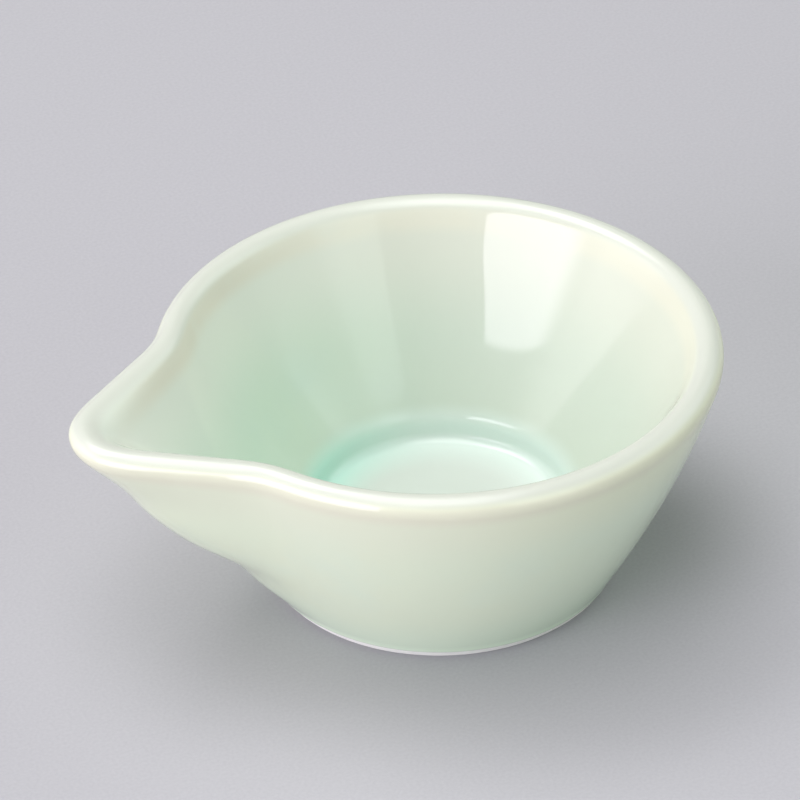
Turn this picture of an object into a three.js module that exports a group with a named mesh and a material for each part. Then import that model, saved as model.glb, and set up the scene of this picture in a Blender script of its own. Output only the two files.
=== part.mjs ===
// A small porcelain bowl with a pouring spout, glazed inside and out. Millimetres, +Z up.
// The spout points along -X. The origin is on the table, under the middle of the bowl's box.
import * as THREE from "three";

// Sizes of the glazed bowl, each set by itself
const bodyRadius = 36; // outside of the round wall, at the rim
const footRadius = 22; // outside of the wall, carried down to the table
const bowlHeight = 33.1;
const rimThickness = 3.9;
const outerSwell = 1.2; // how far the outer wall stands out half way up, past a straight one
const spoutReach = 49.6; // from the round wall's axis to the tip
const tipRadius = 8.6; // the spout's round end, seen from above
const neckRadius = 12.3; // hollow curve between the spout's flank and the round wall
const neckAngle = THREE.MathUtils.degToRad(32); // from the spout's centre line to where the neck begins
const innerSwell = 0.8; // how far the inner wall is hollowed half way up
const channelFade = 1.15; // above 1 the spout's channel fades out sooner towards the floor
const lipRoll = 0.12; // how much less the channel reaches out than the rim, so its lip rolls over broadly
const wellRadius = 16.7; // upper edge of the well sunk into the floor
const wellHeight = 9.6; // that edge's height above the table
const wellEdgeRound = 0.8;
const floorRadius = 14.9; // the floor of the well, dished like a shallow plate
const floorHeight = 6.8; // at its edge
const floorDish = 0.6; // its middle lies this much lower
const floorDishPower = 3.5; // more leaves the middle flatter
const floorFillet = 1.6; // in the glaze, at the foot of the well's wall

// Sizes of the clay under the glaze, and of the foot
const glazeThickness = 0.4; // measured level
const clayFillet = 0.6; // the well's corner in the clay, sharper than in the glaze that pools there
const glazeStop = 0.95; // the outer glaze ends this far above the table
const glazeEdgeRise = 0.35; // height in which its edge swells to the full thickness
const footChamfer = 0.3;
const footRingWidth = 3.8;
const recessDepth = 1.6;
const recessDraft = 1.2; // the recess is this much narrower at its top than at the table
const baseGlazeThickness = 0.3;
const baseGlazeMargin = 0.5; // bare clay between the base glaze and the recess's side

// How far the wall has moved from its round shape out to the spout's, at shares of the height of the wall.
// It rises fast in the middle, which gives the spout its low belly, and again under the lip.
const keelHeights = [0, 0.16, 0.32, 0.48, 0.64, 0.8, 1];
const keelShares = [0, 0.1, 0.19, 0.46, 0.63, 0.74, 1];

// How finely it is divided
const segments = 64;
const crowding = 0.5; // 0 spaces the segments evenly, more brings them closer together at the spout
const outerWallRings = 8;
const innerWallRings = 6;
const rimSteps = 3; // in the quarter round from the wall to the rim's crest
const clayRimSteps = 2;
const filletSteps = 4;
const clayFilletSteps = 2;
const floorSteps = 3;

// Worked out from them
const wallTop = bowlHeight - rimThickness / 2; // where the wall ends and the round rim begins
const tipCentre = spoutReach - tipRadius;
const neckDistance = bodyRadius + neckRadius;
const neckX = neckDistance * Math.cos(neckAngle);
const neckY = neckDistance * Math.sin(neckAngle);
const centresApart = Math.hypot(neckX - tipCentre, neckY);
const flankFacing =
  Math.atan2(neckY, neckX - tipCentre) - Math.acos((tipRadius + neckRadius) / centresApart);
const quarterTurn = Math.PI / 2;

const keel = new THREE.CubicInterpolant(keelHeights, keelShares, 1);
keel.settings = { endingStart: THREE.ZeroSlopeEnding, endingEnd: THREE.ZeroCurvatureEnding };

// The rim seen from above: the distance from the axis at an angle from the spout. A round tip, a straight
// flank, a hollow neck and the round wall follow each other, all moved inwards by the same inset.
function planRadius(angle, inset) {
  const away = Math.min(angle, 2 * Math.PI - angle);
  const tip = tipRadius - inset;
  const neck = neckRadius + inset;
  const tipEnd = Math.atan2(
    tip * Math.sin(flankFacing),
    tipCentre + tip * Math.cos(flankFacing),
  );
  const neckStart = Math.atan2(
    neckY - neck * Math.sin(flankFacing),
    neckX - neck * Math.cos(flankFacing),
  );
  if (away < tipEnd) {
    const across = tipCentre * Math.sin(away);
    return tipCentre * Math.cos(away) + Math.sqrt(tip * tip - across * across);
  }
  if (away < neckStart) {
    return (tipCentre * Math.cos(flankFacing) + tip) / Math.cos(away - flankFacing);
  }
  if (away < neckAngle) {
    const across = neckDistance * Math.sin(away - neckAngle);
    return neckDistance * Math.cos(away - neckAngle) - Math.sqrt(neck * neck - across * across);
  }
  return bodyRadius - inset;
}

// One ring round the bowl: its radius away from the spout, its height, how deep it lies in the wall, and
// how much of the spout it has.
function ring(radius, height, inset = 0, share = 0) {
  return { radius, height, inset, share };
}

// Triangles between the rings. Each quad is cut from its lower ring to its upper one the same way whichever
// way the rings are listed, so that the glaze and the clay share the very same triangles.
function trianglesBetween(rings) {
  const triangles = [];
  for (let column = 0; column < segments; column += 1) {
    for (let row = 0; row < rings.length - 1; row += 1) {
      const here = column * rings.length + row;
      const beside = here + rings.length;
      if (rings[row].height > rings[row + 1].height) {
        triangles.push(here, beside, beside + 1, here, beside + 1, here + 1);
      } else {
        triangles.push(here, beside, here + 1, beside + 1, here + 1, beside);
      }
    }
  }
  return triangles;
}

// A surface through rings, each drawn out towards the spout by its share
function spoutedSolid(rings) {
  const profile = rings.map((one) => new THREE.Vector2(one.radius, one.height));
  const geometry = new THREE.LatheGeometry(profile, segments);
  geometry.setIndex(trianglesBetween(rings));
  geometry.rotateX(quarterTurn);
  const place = geometry.attributes.position;
  for (let k = 0; k < place.count; k += 1) {
    const { radius, inset, share } = rings[k % rings.length];
    const turn = (2 * Math.PI * Math.floor(k / rings.length)) / segments;
    const angle = turn - crowding * Math.sin(turn);
    const drawnOut = planRadius(angle, inset) - (bodyRadius - inset);
    const distance = radius + share * drawnOut;
    place.setXY(k, -distance * Math.cos(angle), -distance * Math.sin(angle));
  }
  geometry.computeVertexNormals();
  return geometry;
}

// The quarter of the round rim from the outer wall up to the crest, coat deep under the glaze's surface
function outerRim(coat, steps) {
  const round = rimThickness / 2 - coat;
  const rings = [];
  for (let k = 0; k <= steps; k += 1) {
    const angle = (quarterTurn * k) / steps;
    const inset = rimThickness / 2 - round * Math.cos(angle);
    rings.push(ring(bodyRadius - inset, wallTop + round * Math.sin(angle), inset, 1));
  }
  return rings;
}

// The quarter from the crest down to the inner wall, which is the outer one turned over
function innerRim(coat, steps) {
  return outerRim(coat, steps)
    .reverse()
    .map(({ height, inset }) => {
      const turned = rimThickness - inset;
      return ring(bodyRadius - turned, height, turned, channelShare(height));
    });
}

// How far the inner wall has moved out to the spout's channel
function channelShare(height) {
  const low = wellHeight + wellEdgeRound;
  const rise = THREE.MathUtils.clamp((height - low) / (wallTop - low), 0, 1);
  const roll = THREE.MathUtils.smoothstep(bowlHeight - height, 0, rimThickness / 2);
  return rise ** channelFade * (1 - lipRoll * roll);
}

function outerWallRing(height, coat) {
  const rise = height / wallTop;
  const straight = THREE.MathUtils.lerp(footRadius, bodyRadius, rise);
  const swell = 4 * outerSwell * rise * (1 - rise);
  return ring(straight + swell - coat, height, coat, keel.evaluate(rise)[0]);
}

// The outer wall from a lower height up to just under the rim
function outerWall(coat, lowest) {
  const rings = [];
  for (let k = 0; k < outerWallRings; k += 1) {
    const height = THREE.MathUtils.lerp(lowest, wallTop, k / outerWallRings);
    rings.push(outerWallRing(height, coat));
  }
  return rings;
}

// The inner wall from just under the rim down to the well's edge
function innerWall(coat) {
  const lowRadius = wellRadius + wellEdgeRound;
  const lowHeight = wellHeight + wellEdgeRound;
  const rings = [];
  for (let k = innerWallRings - 1; k >= 0; k -= 1) {
    const rise = k / innerWallRings;
    const straight = THREE.MathUtils.lerp(lowRadius, bodyRadius - rimThickness, rise);
    const swell = 4 * innerSwell * rise * (1 - rise);
    const height = THREE.MathUtils.lerp(lowHeight, wallTop, rise);
    rings.push(ring(straight + swell + coat, height, rimThickness - coat, channelShare(height)));
  }
  return rings;
}

// The well from its edge down its steep wall, round the fillet and over the dished floor to the axis
function well(coat, fillet, steps) {
  const bottom = floorHeight - coat;
  const centreRadius = floorRadius + floorFillet + coat - fillet;
  const rings = [ring(wellRadius + coat, wellHeight - coat / 2)];
  for (let k = 0; k <= steps; k += 1) {
    const angle = (quarterTurn * k) / steps;
    const radius = centreRadius + fillet * Math.cos(angle);
    rings.push(ring(radius, bottom + fillet * (1 - Math.sin(angle))));
  }
  for (let k = floorSteps - 1; k >= 0; k -= 1) {
    const share = k / floorSteps;
    rings.push(ring(floorRadius * share, bottom - floorDish * (1 - share ** floorDishPower)));
  }
  return rings;
}

// Where the glaze lies on the clay, outside from the glaze's lower edge up and inside from the crest down
const outerBond = [...outerWall(glazeThickness, glazeStop), ...outerRim(glazeThickness, clayRimSteps)];
const innerBond = [
  ...innerRim(glazeThickness, clayRimSteps),
  ...innerWall(glazeThickness),
  ...well(glazeThickness, clayFillet, clayFilletSteps),
];

// The foot: a flat ring that stands on the table, round a shallow recess
const footOuterRadius = outerBond[0].radius - footChamfer;
const footInnerRadius = footOuterRadius - footRingWidth;
const recessTopRadius = footInnerRadius - recessDraft;
const baseGlazeRadius = recessTopRadius - baseGlazeMargin;

function porcelainBody() {
  return spoutedSolid([
    ring(0, recessDepth),
    ring(baseGlazeRadius, recessDepth),
    ring(recessTopRadius, recessDepth),
    ring(footInnerRadius, 0),
    ring(footOuterRadius, 0),
    ring(footOuterRadius + footChamfer, footChamfer),
    ...outerBond,
    ...innerBond.slice(1),
  ]);
}

function outerGlaze() {
  const surface = [
    ...outerWall(0, glazeStop + glazeEdgeRise),
    ...outerRim(0, rimSteps),
  ];
  const bond = [...outerBond].reverse();
  return spoutedSolid([...surface, ...bond, surface[0]]);
}

function innerGlaze() {
  const surface = [
    ...innerRim(0, rimSteps),
    ...innerWall(0),
    ...well(0, floorFillet, filletSteps),
  ];
  return spoutedSolid([...innerBond].reverse().concat(surface));
}

function baseGlaze() {
  const underside = recessDepth - baseGlazeThickness;
  return spoutedSolid([
    ring(0, underside),
    ring(baseGlazeRadius - baseGlazeThickness, underside),
    ring(baseGlazeRadius, recessDepth),
    ring(0, recessDepth),
  ]);
}

function piece(name, geometry, color, roughness) {
  const material = new THREE.MeshStandardMaterial({ color, roughness, metalness: 0 });
  const mesh = new THREE.Mesh(geometry, material);
  mesh.name = name;
  return mesh;
}

const bowl = new THREE.Group();
bowl.add(
  piece("porcelain_body", porcelainBody(), 0xefece4, 0.8),
  piece("outer_glaze", outerGlaze(), 0xd9e1cc, 0.12),
  piece("inner_glaze", innerGlaze(), 0xcfe0cb, 0.1),
  piece("base_glaze", baseGlaze(), 0xd9e1cc, 0.2),
);
bowl.position.x = (spoutReach - bodyRadius) / 2;

export default bowl;
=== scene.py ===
# A small porcelain bowl with a pouring spout, under a pale celadon glaze
import math

import bpy
from mathutils import Matrix, Vector


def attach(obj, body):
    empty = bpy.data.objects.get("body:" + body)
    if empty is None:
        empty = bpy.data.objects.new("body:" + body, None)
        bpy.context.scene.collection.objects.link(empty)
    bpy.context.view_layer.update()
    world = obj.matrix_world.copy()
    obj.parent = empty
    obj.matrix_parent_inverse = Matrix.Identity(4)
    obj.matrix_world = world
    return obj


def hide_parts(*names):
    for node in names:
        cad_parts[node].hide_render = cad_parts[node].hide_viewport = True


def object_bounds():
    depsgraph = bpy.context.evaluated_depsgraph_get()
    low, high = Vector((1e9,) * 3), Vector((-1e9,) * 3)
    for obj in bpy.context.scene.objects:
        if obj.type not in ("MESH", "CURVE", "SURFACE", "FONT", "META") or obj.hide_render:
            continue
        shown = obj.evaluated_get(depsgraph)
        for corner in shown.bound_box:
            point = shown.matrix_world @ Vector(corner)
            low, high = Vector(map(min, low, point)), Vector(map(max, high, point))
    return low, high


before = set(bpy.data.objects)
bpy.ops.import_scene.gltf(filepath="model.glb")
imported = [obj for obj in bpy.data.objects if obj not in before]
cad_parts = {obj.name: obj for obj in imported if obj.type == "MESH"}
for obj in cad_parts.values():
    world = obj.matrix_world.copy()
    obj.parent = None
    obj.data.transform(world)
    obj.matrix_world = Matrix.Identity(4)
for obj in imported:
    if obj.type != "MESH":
        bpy.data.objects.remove(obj)  # the clay body and its three coats of glaze, all on the body "root"
cadLow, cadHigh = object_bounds()
print("frame loaded:", ", ".join(sorted(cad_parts)))

mm = 0.001
fullTurn = 2 * math.pi

# The glazed bowl, in millimetres
bowl = {
    "height": cadHigh.z / mm,
    "bodyRadius": 36.0,        # outside of the round wall, at the rim
    "footRadius": 22.0,        # outside of the wall, carried down to the table
    "rimThickness": 3.9,
    "outerSwell": 1.2,         # how far the outer wall stands out half way up
    "innerSwell": 0.8,
    "outerLean": math.radians(17),  # of each wall's top, where the round rim takes over
    "innerLean": math.radians(30),
    "wellRadius": 16.7,        # upper edge of the well sunk into the floor
    "wellHeight": 9.6,
    "wellEdgeRound": 0.8,
    "floorRadius": 14.9,
    "floorHeight": 6.8,        # at its edge
    "floorDish": 0.6,          # its middle lies this much lower
    "floorDishPower": 3.5,     # more leaves the middle flatter
    "floorFillet": 1.6,        # in the glaze, which pools in the well's corner
    "clayFillet": 0.6,
    "glazeThickness": 0.4,
}
bowl["axisX"] = cadHigh.x / mm - bowl["bodyRadius"]  # the round wall's axis
bowl["wallTop"] = bowl["height"] - bowl["rimThickness"] / 2

# The spout, drawn out of the wall towards -X
spout = {
    "tipRadius": 8.6,
    "tipLoss": 0.24,           # what easing and softening take off the tip again
    "neckRadius": 12.3,
    "neckAngle": math.radians(32),
    "channelFade": 1.15,
    "lipRoll": 0.12,           # how much less the channel reaches out than the rim
    "keelHeights": [0, 0.16, 0.32, 0.48, 0.64, 0.8, 1],
    "keelShares": [0, 0.1, 0.19, 0.46, 0.63, 0.74, 1],
    "crowding": 0.5,           # brings the steps of the turn closer together at the spout
    "ease": math.radians(1.2),  # softens the change from one curve of the outline to the next
}
spout["reach"] = bowl["axisX"] - cadLow.x / mm + spout["tipLoss"]  # from the axis to the tip, as drawn

# How finely the sections are drawn
fineness = {
    "turnSteps": 256,
    "curveSteps": 200,         # along the wall, the rim and each part of the well, as first drawn
    "sampling": 0.05,          # spacing of the points along a section before it is thinned
    "softening": 0.7,          # creases are rounded over this length to each side
    "shareSoftening": 1.8,     # and so is the start of the spout's flare under the rim
    "longestStep": 1.1,
    "sharpestBend": math.radians(6),
    "hiddenStep": 2.2,         # where the clay lies under the glaze
    "hiddenBend": math.radians(16),
    "mergeWithin": 0.002,
    "lookupDigits": 5,         # decimals to which two places of the outline count as one
    "creaseAngle": math.radians(35),
    "nothing": 1e-9,           # keeps a step of no length from dividing by zero
}


def mix(first, last, share):
    return first + (last - first) * share


def eased(share):
    return share * share * (3 - 2 * share)


def keelShare(rise):
    # How far the wall has moved out to the spout, a smooth curve through the shares, level at the foot
    heights = spout["keelHeights"]
    shares = spout["keelShares"]
    slopes = [(shares[k + 1] - shares[k]) / (heights[k + 1] - heights[k]) for k in range(len(heights) - 1)]
    leans = [0.0] + [(a + b) / 2 for a, b in zip(slopes, slopes[1:])] + [slopes[-1]]
    k = sum(1 for height in heights[1:-1] if height <= rise)
    span = heights[k + 1] - heights[k]
    t = (rise - heights[k]) / span
    start = t * (1 - t) ** 2 * span * leans[k]
    end = t * t * (t - 1) * span * leans[k + 1]
    return mix(shares[k], shares[k + 1], eased(t)) + start + end


def outline(angle, inset):
    # The rim seen from above: round tip, straight flank, hollow neck and round wall
    tipCentre = spout["reach"] - spout["tipRadius"]
    neckAway = bowl["bodyRadius"] + spout["neckRadius"]
    neckX = neckAway * math.cos(spout["neckAngle"])
    neckY = neckAway * math.sin(spout["neckAngle"])
    between = math.hypot(neckX - tipCentre, neckY)
    facing = math.atan2(neckY, neckX - tipCentre)
    facing -= math.acos((spout["tipRadius"] + spout["neckRadius"]) / between)
    tip = spout["tipRadius"] - inset
    neck = spout["neckRadius"] + inset
    tipEnd = math.atan2(tip * math.sin(facing), tipCentre + tip * math.cos(facing))
    neckStart = math.atan2(neckY - neck * math.sin(facing), neckX - neck * math.cos(facing))
    away = abs(math.remainder(angle, fullTurn))
    if away < tipEnd:
        return tipCentre * math.cos(away) + math.sqrt(tip**2 - (tipCentre * math.sin(away)) ** 2)
    if away < neckStart:
        return (tipCentre * math.cos(facing) + tip) / math.cos(away - facing)
    if away < spout["neckAngle"]:
        turn = away - spout["neckAngle"]
        return neckAway * math.cos(turn) - math.sqrt(neck**2 - (neckAway * math.sin(turn)) ** 2)
    return bowl["bodyRadius"] - inset


def easedOutline(angle, inset):
    steps = [-2, -1, 0, 1, 2]
    return sum(outline(angle + k * spout["ease"], inset) for k in steps) / len(steps)


def channelShare(height):
    # How far the inner wall has moved out to the spout; its lip rolls over more broadly than the rim
    low = bowl["wellHeight"] + bowl["wellEdgeRound"]
    rise = min(1, max(0, (height - low) / (bowl["wallTop"] - low)))
    under = min(1, max(0, (bowl["height"] - height) / (bowl["rimThickness"] / 2)))
    return rise ** spout["channelFade"] * (1 - spout["lipRoll"] * eased(under))


# A station of a section: radius away from the spout, height, depth in the wall and share of the spout
def outerWall(height, coat):
    half = bowl["rimThickness"] / 2
    rise = height / bowl["wallTop"]
    top = bowl["bodyRadius"] - half + half / math.cos(bowl["outerLean"])
    swell = 4 * bowl["outerSwell"] * rise * (1 - rise)
    return (mix(bowl["footRadius"], top, rise) + swell - coat, height, coat, keelShare(rise))


def rim(angle, coat):
    # From the outer wall at a low angle over the crest, at a quarter turn, to the inner wall
    half = bowl["rimThickness"] / 2
    inset = half - (half - coat) * math.cos(angle)
    height = bowl["wallTop"] + (half - coat) * math.sin(angle)
    outside = angle < math.pi / 2
    share = keelShare(min(1, height / bowl["wallTop"])) if outside else channelShare(height)
    return (bowl["bodyRadius"] - inset, height, inset, share)


def innerWall(height, coat):
    half = bowl["rimThickness"] / 2
    low = bowl["wellHeight"] + bowl["wellEdgeRound"]
    rise = (height - low) / (bowl["wallTop"] - low)
    top = bowl["bodyRadius"] - half - half / math.cos(bowl["innerLean"])
    swell = 4 * bowl["innerSwell"] * rise * (1 - rise)
    radius = mix(bowl["wellRadius"] + bowl["wellEdgeRound"], top, rise) + swell + coat
    return (radius, height, bowl["rimThickness"] - coat, channelShare(height))


def wellCorner(angle, coat):
    fillet = mix(bowl["floorFillet"], bowl["clayFillet"], coat / bowl["glazeThickness"])
    centre = bowl["floorRadius"] + bowl["floorFillet"] + coat - fillet
    bottom = bowl["floorHeight"] - coat
    return (centre + fillet * math.cos(angle), bottom + fillet * (1 - math.sin(angle)), 0.0, 0.0)


def wellEdge(start, share, coat):
    # Rounded over from the wall's lowest station to the top of the corner
    end = wellCorner(0, coat)
    turn = (bowl["wellRadius"] + coat, bowl["wellHeight"] - coat / 2)
    radius, height = (mix(mix(a, b, share), mix(b, c, share), share) for a, b, c in zip(start, turn, end))
    return (radius, height, start[2] * (1 - share), 0.0)


def wellFloor(share, coat):
    # From its edge in to the middle, dished like a shallow plate
    radius = bowl["floorRadius"] * (1 - share)
    dip = bowl["floorDish"] * (1 - (1 - share) ** bowl["floorDishPower"])
    return (radius, bowl["floorHeight"] - coat - dip, 0.0, 0.0)


def spaced(stations, spacing):
    # The same line with a station at every spacing along it
    lengths = [0.0]
    for one, other in zip(stations, stations[1:]):
        lengths.append(lengths[-1] + math.dist(one[:2], other[:2]))
    count = max(2, round(lengths[-1] / spacing))
    line = []
    k = 0
    for step in range(count + 1):
        at = lengths[-1] * step / count
        while k < len(lengths) - 2 and lengths[k + 1] < at:
            k += 1
        share = (at - lengths[k]) / max(lengths[k + 1] - lengths[k], fineness["nothing"])
        line.append(tuple(mix(a, b, share) for a, b in zip(stations[k], stations[k + 1])))
    return line


def softened(values, reach):
    # Each value becomes the mean of its neighbours, twice over, up to reach values away in all
    half = reach // 2
    for _ in range(2):
        means = []
        for k in range(len(values)):
            width = min(half, k, len(values) - 1 - k)
            near = values[k - width:k + width + 1]
            means.append(sum(near) / len(near))
        values = means
    return values


def thinned(stations, longest, sharpest, kept):
    # Only the stations that the curve needs, and those that are to be kept
    line = [stations[0]]
    last = 0
    for k in range(1, len(stations) - 1):
        here = Vector(stations[k][:2])
        before = Vector(stations[last + 1][:2]) - Vector(stations[last][:2])
        after = Vector(stations[k + 1][:2]) - here
        far = (here - Vector(stations[last][:2])).length
        if k in kept or far > longest or before.angle(after) > sharpest:
            line.append(stations[k])
            last = k
    tooNear = math.dist(stations[last][:2], stations[-1][:2]) < longest / 2
    if tooNear and last not in kept:
        line.pop()
    line.append(stations[-1])
    return line


def coatSection(coat, lowest):
    # From the outer wall's lowest height over the rim and down to the middle of the well, coat deep
    fine = fineness["curveSteps"]
    rimRound = bowl["rimThickness"] / 2 - coat
    rimStart = bowl["wallTop"] - rimRound * math.sin(bowl["outerLean"])
    rimEnd = bowl["wallTop"] + rimRound * math.sin(bowl["innerLean"])
    low = bowl["wellHeight"] + bowl["wellEdgeRound"]
    raw = [outerWall(mix(lowest, rimStart, k / fine), coat) for k in range(fine)]
    raw += [rim(mix(-bowl["outerLean"], math.pi - bowl["innerLean"], k / fine), coat) for k in range(fine)]
    raw += [innerWall(mix(rimEnd, low, k / fine), coat) for k in range(1, fine + 1)]
    raw += [wellEdge(raw[-1], k / fine, coat) for k in range(1, fine)]
    raw += [wellCorner(math.pi / 2 * k / fine, coat) for k in range(fine + 1)]
    raw += [wellFloor(k / fine, coat) for k in range(1, fine + 1)]
    radii, heights, depths, shares = zip(*spaced(raw, fineness["sampling"]))
    shape = int(fineness["softening"] / fineness["sampling"])
    flare = int(fineness["shareSoftening"] / fineness["sampling"])
    return list(zip(softened(radii, shape), softened(heights, shape), softened(depths, shape),
                    softened(shares, flare)))


def splitAtCrest(stations, longest, sharpest):
    # The outer and the inner part, with close stations beside the crest so that the two coats shade as one
    crest = max(range(len(stations)), key=lambda k: stations[k][1])
    outer = thinned(stations[:crest + 1], longest, sharpest, [crest - 1])
    inner = thinned(stations[crest:], longest, sharpest, [1])
    return outer, inner


# Modelling
def deselectAll():
    if bpy.context.object and bpy.context.object.mode != "OBJECT":
        bpy.ops.object.mode_set(mode="OBJECT")
    bpy.ops.object.select_all(action="DESELECT")


def drawSection(name, stations, closed):
    # A circle bent into the section's outline, on the spout's side of the axis
    deselectAll()
    bpy.ops.mesh.primitive_circle_add(
        vertices=len(stations),
        radius=bowl["bodyRadius"] * mm,
        fill_type="NOTHING",
    )
    piece = bpy.context.object
    piece.name = name
    piece.data.name = name
    depth = piece.data.attributes.new("depth", "FLOAT", "POINT")
    share = piece.data.attributes.new("spoutShare", "FLOAT", "POINT")
    for k, station in enumerate(stations):
        piece.data.vertices[k].co = (-station[0] * mm, 0, station[1] * mm)
        depth.data[k].value = station[2]
        share.data[k].value = station[3]
    if not closed:
        # The circle is opened between the two stations on the axis
        ends = {0, len(stations) - 1}
        bpy.ops.object.mode_set(mode="EDIT")
        bpy.ops.mesh.select_mode(type="EDGE")
        bpy.ops.object.mode_set(mode="OBJECT")
        for edge in piece.data.edges:
            edge.select = set(edge.vertices) == ends
        bpy.ops.object.mode_set(mode="EDIT")
        bpy.ops.mesh.delete(type="EDGE")
        bpy.ops.object.mode_set(mode="OBJECT")
    return piece


def turnOnWheel(piece):
    # The section spun round the axis, as on a potter's wheel
    bpy.ops.object.mode_set(mode="EDIT")
    bpy.ops.mesh.select_mode(type="VERT")
    bpy.ops.mesh.select_all(action="SELECT")
    bpy.ops.mesh.spin(
        steps=fineness["turnSteps"],
        angle=fullTurn,
        use_auto_merge=True,
        center=(0, 0, 0),
        axis=(0, 0, 1),
    )
    bpy.ops.mesh.select_all(action="SELECT")
    bpy.ops.mesh.remove_doubles(threshold=fineness["mergeWithin"] * mm)
    bpy.ops.mesh.normals_make_consistent(inside=False)
    bpy.ops.object.mode_set(mode="OBJECT")


def drawOutSpout(piece):
    # Every point moves out along its own ray, by its share of the spout
    depths = piece.data.attributes["depth"].data
    shares = piece.data.attributes["spoutShare"].data
    digits = fineness["lookupDigits"]
    known = {}
    for vertex in piece.data.vertices:
        radius = math.hypot(vertex.co.x, vertex.co.y) / mm
        turn = math.atan2(-vertex.co.y, -vertex.co.x)
        angle = turn - spout["crowding"] * math.sin(turn)
        share = shares[vertex.index].value
        depth = depths[vertex.index].value
        place = (round(angle, digits), round(depth, digits))
        if place not in known:
            known[place] = easedOutline(angle, depth) - (bowl["bodyRadius"] - depth)
        distance = radius + share * known[place]
        vertex.co.x = (bowl["axisX"] - distance * math.cos(angle)) * mm
        vertex.co.y = -distance * math.sin(angle) * mm
    piece.data.update()


def throwPiece(name, stations, closed, node):
    piece = drawSection(name, stations, closed)
    turnOnWheel(piece)
    drawOutSpout(piece)
    bpy.ops.object.shade_smooth_by_angle(angle=fineness["creaseAngle"])
    for layer in ("depth", "spoutShare"):
        piece.data.attributes.remove(piece.data.attributes[layer])
    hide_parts(node)
    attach(piece, "root")
    print(name, "thrown:", len(piece.data.polygons), "faces")
    return piece


# The foot, in millimetres
foot = {
    "glazeStop": 0.95,         # the outer glaze ends this far above the table
    "glazeEdgeRise": 0.5,      # and thins out to it over this height
    "chamfer": 0.3,
    "ringWidth": 3.8,
    "recessDepth": 1.6,
    "recessDraft": 1.2,
    "baseGlazeThickness": 0.3,
    "baseGlazeMargin": 0.5,
    "edgeSteps": 5,
}
foot["outerRadius"] = outerWall(foot["glazeStop"], bowl["glazeThickness"])[0] - foot["chamfer"]
foot["innerRadius"] = foot["outerRadius"] - foot["ringWidth"]
foot["recessTop"] = foot["innerRadius"] - foot["recessDraft"]
foot["baseGlazeRadius"] = foot["recessTop"] - foot["baseGlazeMargin"]
foot["baseGlazeFace"] = foot["recessDepth"] - foot["baseGlazeThickness"]  # its height above the table

# Where the glaze lies on the clay
claySection = coatSection(bowl["glazeThickness"], foot["glazeStop"])
outerClay, innerClay = splitAtCrest(claySection, fineness["hiddenStep"], fineness["hiddenBend"])

# The glaze's own face
glazeSection = coatSection(0.0, foot["glazeStop"] + foot["glazeEdgeRise"])
outerFace, innerFace = splitAtCrest(glazeSection, fineness["longestStep"], fineness["sharpestBend"])


def plain(radius, height):
    return (radius, height, 0.0, 0.0)


def bead(clay, face, steps):
    # The rounded lower edge of a coat, from the clay out to the full thickness
    turns = [math.pi / 2 * k / steps for k in range(1, steps)]
    return [
        (
            mix(clay[0], face[0], math.sin(turn)),
            mix(clay[1], face[1], 1 - math.cos(turn)),
            mix(clay[2], face[2], math.sin(turn)),
            mix(clay[3], face[3], math.sin(turn)),
        )
        for turn in turns
    ]


clayBody = throwPiece(
    "clayBody",
    [
        plain(0, foot["recessDepth"]),
        plain(foot["baseGlazeRadius"], foot["recessDepth"]),
        plain(foot["recessTop"], foot["recessDepth"]),
        plain(foot["innerRadius"], 0),
        plain(foot["outerRadius"], 0),
        plain(foot["outerRadius"] + foot["chamfer"], foot["chamfer"]),
    ]
    + outerClay
    + innerClay[1:],
    False,
    "porcelain_body",
)

outerGlaze = throwPiece(
    "outerGlaze",
    bead(outerClay[0], outerFace[0], foot["edgeSteps"]) + outerFace + outerClay[::-1],
    True,
    "outer_glaze",
)

innerGlaze = throwPiece("innerGlaze", innerClay[::-1] + innerFace, False, "inner_glaze")

baseGlaze = throwPiece(
    "baseGlaze",
    [
        plain(0, foot["baseGlazeFace"]),
        plain(foot["baseGlazeRadius"] - foot["baseGlazeThickness"], foot["baseGlazeFace"]),
        plain(foot["baseGlazeRadius"], foot["recessDepth"]),
        plain(0, foot["recessDepth"]),
    ],
    False,
    "base_glaze",
)

# The camera, lengths in millimetres. It aims beside and above the middle of the round body.
view = {
    "azimuth": math.radians(-23.907),
    "elevation": math.radians(34.27),
    "roll": math.radians(-1.167),
    "distance": 803.69,
    "lens": 284.01,
    "sensor": 36,
    "aimAside": -4.94,
    "aimUp": 6.32,
    "nearest": 50,
    "furthest": 20000,
}


def placeCamera():
    deselectAll()
    back = Vector((
        math.sin(view["azimuth"]) * math.cos(view["elevation"]),
        -math.cos(view["azimuth"]) * math.cos(view["elevation"]),
        math.sin(view["elevation"]),
    ))
    right = (-back).cross(Vector((0, 0, 1))).normalized()
    up = right.cross(-back)
    aim = Vector((bowl["axisX"], 0, bowl["height"] / 2)) + view["aimAside"] * right + view["aimUp"] * up
    bpy.ops.object.camera_add()
    camera = bpy.context.object
    camera.name = "camera"
    turned = Matrix.Rotation(view["roll"], 3, back) @ Matrix((right, up, back)).transposed()
    camera.matrix_world = Matrix.Translation((aim + back * view["distance"]) * mm) @ turned.to_4x4()
    camera.data.sensor_width = view["sensor"]
    camera.data.lens = view["lens"]
    camera.data.clip_start = view["nearest"] * mm
    camera.data.clip_end = view["furthest"] * mm
    bpy.context.scene.camera = camera


placeCamera()
print("camera placed")


# Materials
def newMaterial(name):
    material = bpy.data.materials.new(name)
    material.use_nodes = True
    tree = material.node_tree
    return material, tree, tree.nodes["Principled BSDF"]


def objectPlace(tree):
    return tree.nodes.new("ShaderNodeTexCoord").outputs["Object"]


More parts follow.
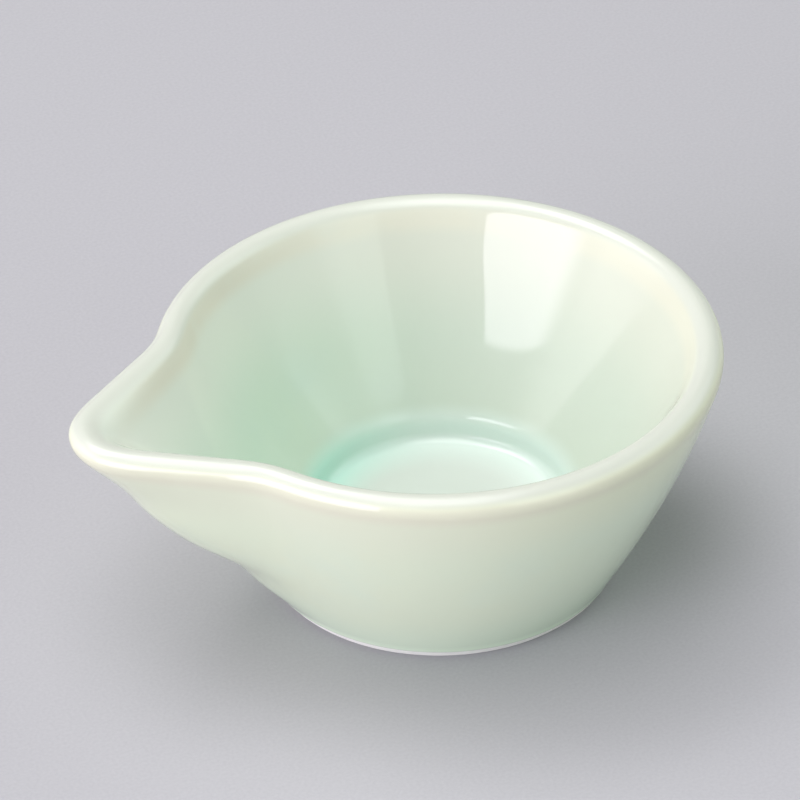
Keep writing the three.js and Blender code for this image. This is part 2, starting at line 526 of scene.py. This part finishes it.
def easedShare(tree, value, start, end):
    # From 0 where the value is at the start to 1 where it is at the end, eased at both
    share = tree.nodes.new("ShaderNodeMapRange")
    share.interpolation_type = "SMOOTHSTEP"
    share.inputs["From Min"].default_value = min(start, end)
    share.inputs["From Max"].default_value = max(start, end)
    share.inputs["To Min"].default_value = 0 if start < end else 1
    share.inputs["To Max"].default_value = 1 if start < end else 0
    tree.links.new(value, share.inputs["Value"])
    return share.outputs["Result"]


def heightShare(tree, start, end):
    # By the height above the table, in millimetres
    parts = tree.nodes.new("ShaderNodeSeparateXYZ")
    tree.links.new(objectPlace(tree), parts.inputs[0])
    return easedShare(tree, parts.outputs["Z"], start * mm, end * mm)


def axisShare(tree, start, end):
    # By the distance from the bowl's axis, in millimetres
    mapping = tree.nodes.new("ShaderNodeMapping")
    mapping.inputs["Location"].default_value = (-bowl["axisX"] * mm, 0, 0)
    mapping.inputs["Scale"].default_value = (1, 1, 0)
    tree.links.new(objectPlace(tree), mapping.inputs["Vector"])
    length = tree.nodes.new("ShaderNodeVectorMath")
    length.operation = "LENGTH"
    tree.links.new(mapping.outputs["Vector"], length.inputs[0])
    return easedShare(tree, length.outputs["Value"], start * mm, end * mm)


def alongShare(tree, start, end):
    # By the place along the bowl, in millimetres from its axis, away from the spout
    parts = tree.nodes.new("ShaderNodeSeparateXYZ")
    tree.links.new(objectPlace(tree), parts.inputs[0])
    return easedShare(tree, parts.outputs["X"], (bowl["axisX"] + start) * mm, (bowl["axisX"] + end) * mm)


def lumps(tree, size, detail):
    # Noise with lumps about size millimetres across
    noise = tree.nodes.new("ShaderNodeTexNoise")
    noise.inputs["Scale"].default_value = 1 / (size * mm)
    noise.inputs["Detail"].default_value = detail
    tree.links.new(objectPlace(tree), noise.inputs["Vector"])
    return noise.outputs["Fac"]


def clouds(tree, size, detail, low, high):
    # Soft patches, from 0 where the noise is low to 1 where it is high
    share = tree.nodes.new("ShaderNodeMapRange")
    share.inputs["From Min"].default_value = low
    share.inputs["From Max"].default_value = high
    tree.links.new(lumps(tree, size, detail), share.inputs["Value"])
    return share.outputs["Result"]


def times(tree, one, other):
    product = tree.nodes.new("ShaderNodeMath")
    product.operation = "MULTIPLY"
    for socket, value in zip(product.inputs, (one, other)):
        if isinstance(value, (int, float)):
            socket.default_value = value
        else:
            tree.links.new(value, socket)
    return product.outputs[0]


def tinted(tree, share, base, tint):
    # The base colour, turned to the tint by the share
    blend = tree.nodes.new("ShaderNodeMix")
    blend.data_type = "RGBA"
    tree.links.new(share, blend.inputs["Factor"])
    for socket, colour in ((blend.inputs["A"], base), (blend.inputs["B"], tint)):
        if isinstance(colour, tuple):
            socket.default_value = (*colour, 1)
        else:
            tree.links.new(colour, socket)
    return blend.outputs["Result"]


def relief(tree, shader, size, detail, height):
    # The slow waves and dimples of a glaze that has flowed in the kiln, or the grain of bare clay
    bump = tree.nodes.new("ShaderNodeBump")
    bump.inputs["Strength"].default_value = 1
    bump.inputs["Distance"].default_value = height * mm
    tree.links.new(lumps(tree, size, detail), bump.inputs["Height"])
    tree.links.new(bump.outputs["Normal"], shader.inputs["Normal"])


# What the two large coats share. Lengths are in millimetres, and each pair is where a change starts and ends:
# heights above the table, or places along the bowl from its axis, away from the spout.
glazeFlow = {
    "refraction": 1.5,
    "yellowerClouds": {"size": 24, "detail": 2, "low": 0.35, "high": 0.65},
    "bluerClouds": {"size": 13, "detail": 3, "low": 0.5, "high": 0.75},
    "creamClouds": {"size": 9, "detail": 2, "low": 0.1, "high": 0.45},
    "glossClouds": {"size": 6, "detail": 3, "low": 0.35, "high": 0.7},
    # The next two pairs tint the colours towards the side away from the spout: partly the glaze's own tone,
    # partly painted light and shade of that side
    "farToneAndPaintedLightAlong": (-26, 22),
    "thinToneAndPaintedLightAlong": (-22, 8),
    "creamFoot": (28.8, 30.8),
    "creamTop": (32.9, 31.7),
    "crestHeights": (32.0, 32.9),
}


def glossyGlaze(tree, shader, finish):
    shader.inputs["IOR"].default_value = glazeFlow["refraction"]
    rough = tree.nodes.new("ShaderNodeMapRange")
    rough.inputs["To Min"].default_value = finish["smooth"]
    rough.inputs["To Max"].default_value = finish["worn"]
    tree.links.new(clouds(tree, **glazeFlow["glossClouds"]), rough.inputs["Value"])
    tree.links.new(rough.outputs["Result"], shader.inputs["Roughness"])
    relief(tree, shader, **finish["waves"])


def glazeOverClay(tree, glaze):
    # The colour of both large coats, creamier where the glaze runs thin near the rim
    flow = glazeFlow
    colour = tinted(tree, clouds(tree, **flow["yellowerClouds"]), glaze["celadon"], glaze["yellower"])
    colour = tinted(tree, clouds(tree, **flow["bluerClouds"]), colour, glaze["bluer"])
    # Tinted towards the side away from the spout: partly the glaze's tone, partly painted light and shade of
    # that side
    colour = tinted(tree, alongShare(tree, *flow["farToneAndPaintedLightAlong"]), colour, glaze["farSideToneAndPaintedLight"])
    # The thin band near the rim changes from the spout's side to the far side: partly the glaze's tone,
    # partly painted shade on the brightly lit far side
    thin = tinted(tree, alongShare(tree, *flow["thinToneAndPaintedLightAlong"]), glaze["thinSpout"], glaze["thin"])
    colour = tinted(tree, heightShare(tree, *glaze["thinHeights"]), colour, thin)
    band = times(tree, heightShare(tree, *flow["creamFoot"]), heightShare(tree, *flow["creamTop"]))
    if "creamAlong" in glaze:
        band = times(tree, band, alongShare(tree, *glaze["creamAlong"]))
    colour = tinted(tree, times(tree, band, clouds(tree, **flow["creamClouds"])), colour, glaze["cream"])
    return tinted(tree, heightShare(tree, *flow["crestHeights"]), colour, glaze["crest"])


outsideGlaze = {
    "celadon": (0.84, 0.945, 0.725),
    "yellower": (0.855, 0.945, 0.715),
    "bluer": (0.82, 0.945, 0.745),
    # Partly the glaze's tone, partly painted light and shade of the side away from the spout
    "farSideToneAndPaintedLight": (0.84, 0.96, 0.77),  # opposite the spout
    # The thin band's two sides: partly the glaze's tone, partly painted light and shade by side
    "thinSpout": (0.86, 0.925, 0.715),
    "thin": (0.885, 0.945, 0.72),
    "cream": (0.84, 0.86, 0.67),
    "crest": (0.685, 0.72, 0.63),
    "foot": (0.83, 0.99, 0.78),
    "thinHeights": (20, 30),
    "footHeights": (11.0, 0.5),
    "smooth": 0.05,
    "worn": 0.08,
    "waves": {"size": 9, "detail": 1, "height": 0.012},
}


def outsideCeladon():
    material, tree, shader = newMaterial("celadon outside")
    colour = glazeOverClay(tree, outsideGlaze)
    footShare = heightShare(tree, *outsideGlaze["footHeights"])
    tree.links.new(tinted(tree, footShare, colour, outsideGlaze["foot"]), shader.inputs["Base Color"])
    glossyGlaze(tree, shader, outsideGlaze)
    return material


# The inside's glaze colours are darker than the outside's, though one glaze covers both: painted shade inside
# the bowl
insideGlaze = {
    "celadon": (0.545, 0.705, 0.57),
    "yellower": (0.555, 0.71, 0.56),
    "bluer": (0.535, 0.70, 0.58),
    # Partly the glaze's tone, partly painted light and shade of the side away from the spout
    "farSideToneAndPaintedLight": (0.61, 0.68, 0.58),  # opposite the spout
    # The thin band's two sides: partly the glaze's tone, partly painted shade on the brightly lit far side
    "thinSpout": (0.74, 0.805, 0.70),
    "thin": (0.685, 0.715, 0.61),
    "cream": (0.735, 0.74, 0.615),
    "crest": (0.685, 0.72, 0.63),
    "pool": (0.49, 0.82, 0.695),
    # Paler at the far end: partly thinner glaze, partly painted light and highlight on the lit end of the
    # well
    "poolFarToneAndPaintedLight": (0.72, 0.835, 0.765),
    "floor": (0.625, 0.685, 0.625),
    "thinHeights": (17, 30),
    "creamAlong": (-46, -33),  # the cream band fades out towards the spout
    "poolHeights": (11.6, 8.8),
    "poolToneAndPaintedLightAlong": (-16, 8),
    "floorPast": 1.4,          # the floor's colour starts this far outside its edge
    "floorWithin": 5,          # and is full this far inside
    "smooth": 0.04,
    "worn": 0.07,
    "waves": {"size": 11, "detail": 1, "height": 0.003},
}


def insideCeladon():
    material, tree, shader = newMaterial("celadon inside")
    colour = glazeOverClay(tree, insideGlaze)
    # The pool pales towards the side away from the spout: partly the glaze's tone, partly painted light and
    # highlight
    poolShare = alongShare(tree, *insideGlaze["poolToneAndPaintedLightAlong"])
    pool = tinted(tree, poolShare, insideGlaze["pool"], insideGlaze["poolFarToneAndPaintedLight"])
    colour = tinted(tree, heightShare(tree, *insideGlaze["poolHeights"]), colour, pool)
    floorStart = bowl["floorRadius"] + insideGlaze["floorPast"]
    floorFull = bowl["floorRadius"] - insideGlaze["floorWithin"]
    floorShare = axisShare(tree, floorStart, floorFull)
    tree.links.new(tinted(tree, floorShare, colour, insideGlaze["floor"]), shader.inputs["Base Color"])
    glossyGlaze(tree, shader, insideGlaze)
    return material


underGlaze = {
    "clouds": {"size": 8, "detail": 3, "low": 0.35, "high": 0.7},
    "smooth": 0.1,
    "worn": 0.2,
    "waves": {"size": 5, "detail": 2, "height": 0.03},
}


def baseCeladon():
    material, tree, shader = newMaterial("celadon base")
    colour = tinted(tree, clouds(tree, **underGlaze["clouds"]), outsideGlaze["celadon"], outsideGlaze["foot"])
    tree.links.new(colour, shader.inputs["Base Color"])
    glossyGlaze(tree, shader, underGlaze)
    return material


clayFinish = {
    "white": (0.95, 0.96, 0.91),
    "grey": (0.91, 0.915, 0.87),
    "clouds": {"size": 1.5, "detail": 4, "low": 0.4, "high": 0.7},
    "roughness": 0.75,
    "grain": {"size": 0.25, "detail": 3, "height": 0.01},
}


def bareClay():
    # Fired porcelain without glaze: matt, with a fine grain
    material, tree, shader = newMaterial("bare porcelain")
    colour = tinted(tree, clouds(tree, **clayFinish["clouds"]), clayFinish["white"], clayFinish["grey"])
    tree.links.new(colour, shader.inputs["Base Color"])
    shader.inputs["Roughness"].default_value = clayFinish["roughness"]
    relief(tree, shader, **clayFinish["grain"])
    return material


def coat(piece, material):
    piece.data.materials.clear()
    piece.data.materials.append(material)


coat(outerGlaze, outsideCeladon())
coat(innerGlaze, insideCeladon())
coat(baseGlaze, baseCeladon())
coat(clayBody, bareClay())
print("glazes mixed")

# The floor, lengths in millimetres
table = {
    "colour": (0.514, 0.510, 0.538),
    "grey": (0.480, 0.476, 0.505),
    "far": (0.565, 0.56, 0.592),  # the backdrop's colour, which the board runs into
    "farDistances": (320, 620),
    "size": 6000,
    "grain": {"size": 0.45, "detail": 2, "low": 0.3, "high": 0.7},
}


def seenPlainly(tree):
    # 1 where the camera or the gloss sees it, 0 for the light that it would send back
    path = tree.nodes.new("ShaderNodeLightPath")
    seen = tree.nodes.new("ShaderNodeMath")
    seen.operation = "MAXIMUM"
    tree.links.new(path.outputs["Is Camera Ray"], seen.inputs[0])
    tree.links.new(path.outputs["Is Glossy Ray"], seen.inputs[1])
    return seen.outputs[0]


def layTable():
    deselectAll()
    bpy.ops.mesh.primitive_plane_add(size=table["size"] * mm)
    floor = bpy.context.object
    floor.name = "floor"
    material, tree, shader = newMaterial("pale board")
    colour = tinted(tree, clouds(tree, **table["grain"]), table["colour"], table["grey"])
    tree.links.new(colour, shader.inputs["Base Color"])
    shader.inputs["Roughness"].default_value = 1
    shader.inputs["Specular IOR Level"].default_value = 0
    backdrop = tree.nodes.new("ShaderNodeEmission")
    backdrop.inputs["Color"].default_value = (*table["far"], 1)
    blend = tree.nodes.new("ShaderNodeMixShader")
    far = axisShare(tree, *table["farDistances"])
    tree.links.new(times(tree, far, seenPlainly(tree)), blend.inputs[0])
    tree.links.new(shader.outputs[0], blend.inputs[1])
    tree.links.new(backdrop.outputs[0], blend.inputs[2])
    tree.links.new(blend.outputs[0], tree.nodes["Material Output"].inputs["Surface"])
    coat(floor, material)


layTable()

# Studio light: soft boxes round the bowl, angles in degrees, sizes in millimetres.
# Azimuth counts from +X towards +Y. A box faces the bowl, unless it has a facing of its own. Its edges shade
# off where across * share of its width + up * share of its height goes from dark to lit.
softEdges = [
    {"across": 1, "up": 0, "dark": 0, "lit": 0.4},
    {"across": 1, "up": 0, "dark": 1, "lit": 0.6},
    {"across": 0, "up": 1, "dark": 0, "lit": 0.4},
    {"across": 0, "up": 1, "dark": 1, "lit": 0.6},
]
softBoxes = {
    "window": {
        "azimuth": -164.7, "elevation": 23.0, "distance": 1122, "width": 1000, "height": 820, "glow": 4.6,
        "facing": (-150, 0), "colour": (0.99, 0.92, 1.04),
        "edges": [
            {"across": 0.881, "up": 0.473, "dark": 1.205, "lit": 1.185},
            {"across": -0.211, "up": 0.977, "dark": 0.74, "lit": 0.72},
            {"across": 1, "up": 0, "dark": 0.02, "lit": 0.34},
        ],
    },
    "backLeft": {
        "azimuth": 155, "elevation": 24, "distance": 1000, "width": 1300, "height": 900, "glow": 1.4,
        "colour": (1, 0.97, 0.94), "edges": softEdges,
    },
    "overhead": {
        "azimuth": 120, "elevation": 60, "distance": 1000, "width": 1050, "height": 620, "glow": 4.6,
        "edges": softEdges,
    },
    "ceiling": {
        "azimuth": 167, "elevation": 86, "distance": 1000, "width": 1700, "height": 900, "glow": 3.4,
        "edges": softEdges,
    },
    "right": {
        "azimuth": -50, "elevation": 30, "distance": 1000, "width": 1800, "height": 900, "glow": 0.8,
        "colour": (0.94, 1.02, 0.96), "edges": softEdges,
    },
    "backRight": {
        "azimuth": 0, "elevation": 36, "distance": 1000, "width": 1400, "height": 800, "glow": 1.4,
        "colour": (0.97, 1.01, 0.97), "edges": softEdges,
    },
    "front": {
        "azimuth": -67, "elevation": 24, "distance": 1180, "width": 750, "height": 900, "glow": 1.0,
        "facing": (-90, 0), "colour": (0.91, 1.02, 0.98),
        "edges": [
            {"across": -0.9, "up": 0.436, "dark": 0.42, "lit": 0.39},
            {"across": 1, "up": 0, "dark": 0.95, "lit": 0.5},
        ],
    },
}
ambient = {"colour": (1, 1, 1), "glow": 0.02}


def direction(azimuth, elevation):
    turn = math.radians(azimuth)
    rise = math.radians(elevation)
    return Vector((math.cos(turn) * math.cos(rise), math.sin(turn) * math.cos(rise), math.sin(rise)))


def shadeEdges(lamp, edges):
    # Dims the lamp towards the edges, by the place on its face
    lamp.use_nodes = True
    tree = lamp.node_tree
    parts = tree.nodes.new("ShaderNodeSeparateXYZ")
    tree.links.new(tree.nodes.new("ShaderNodeNewGeometry").outputs["Parametric"], parts.inputs[0])
    light = 1
    for edge in edges:
        along = tree.nodes.new("ShaderNodeMath")
        along.operation = "MULTIPLY_ADD"
        tree.links.new(parts.outputs["X"], along.inputs[0])
        along.inputs[1].default_value = edge["across"]
        tree.links.new(times(tree, parts.outputs["Y"], edge["up"]), along.inputs[2])
        light = times(tree, light, easedShare(tree, along.outputs[0], edge["dark"], edge["lit"]))
    tree.links.new(light, tree.nodes["Emission"].inputs["Strength"])


def hangSoftBox(name, box):
    deselectAll()
    away = direction(box["azimuth"], box["elevation"])
    facing = direction(*box.get("facing", (box["azimuth"], box["elevation"])))
    bpy.ops.object.light_add(type="AREA", location=away * box["distance"] * mm)
    lamp = bpy.context.object
    lamp.name = name
    lamp.rotation_euler = facing.to_track_quat("Z", "Y").to_euler()
    lamp.data.shape = "RECTANGLE"
    lamp.data.size = box["width"] * mm
    lamp.data.size_y = box["height"] * mm
    lamp.data.energy = box["glow"] * math.pi * lamp.data.size * lamp.data.size_y
    lamp.data.color = box.get("colour", (1, 1, 1))
    shadeEdges(lamp.data, box["edges"])


def lightStudio():
    for name, box in softBoxes.items():
        hangSoftBox(name, box)
    world = bpy.data.worlds.new("studio")
    world.use_nodes = True
    tree = world.node_tree
    sky = tree.nodes["Background"]
    dim = tuple(channel * ambient["glow"] for channel in ambient["colour"])
    tree.links.new(tinted(tree, seenPlainly(tree), dim, table["far"]), sky.inputs["Color"])
    sky.inputs["Strength"].default_value = 1
    bpy.context.scene.world = world


lightStudio()
print("studio lit")

bpy.context.scene.view_settings.view_transform = "Standard"
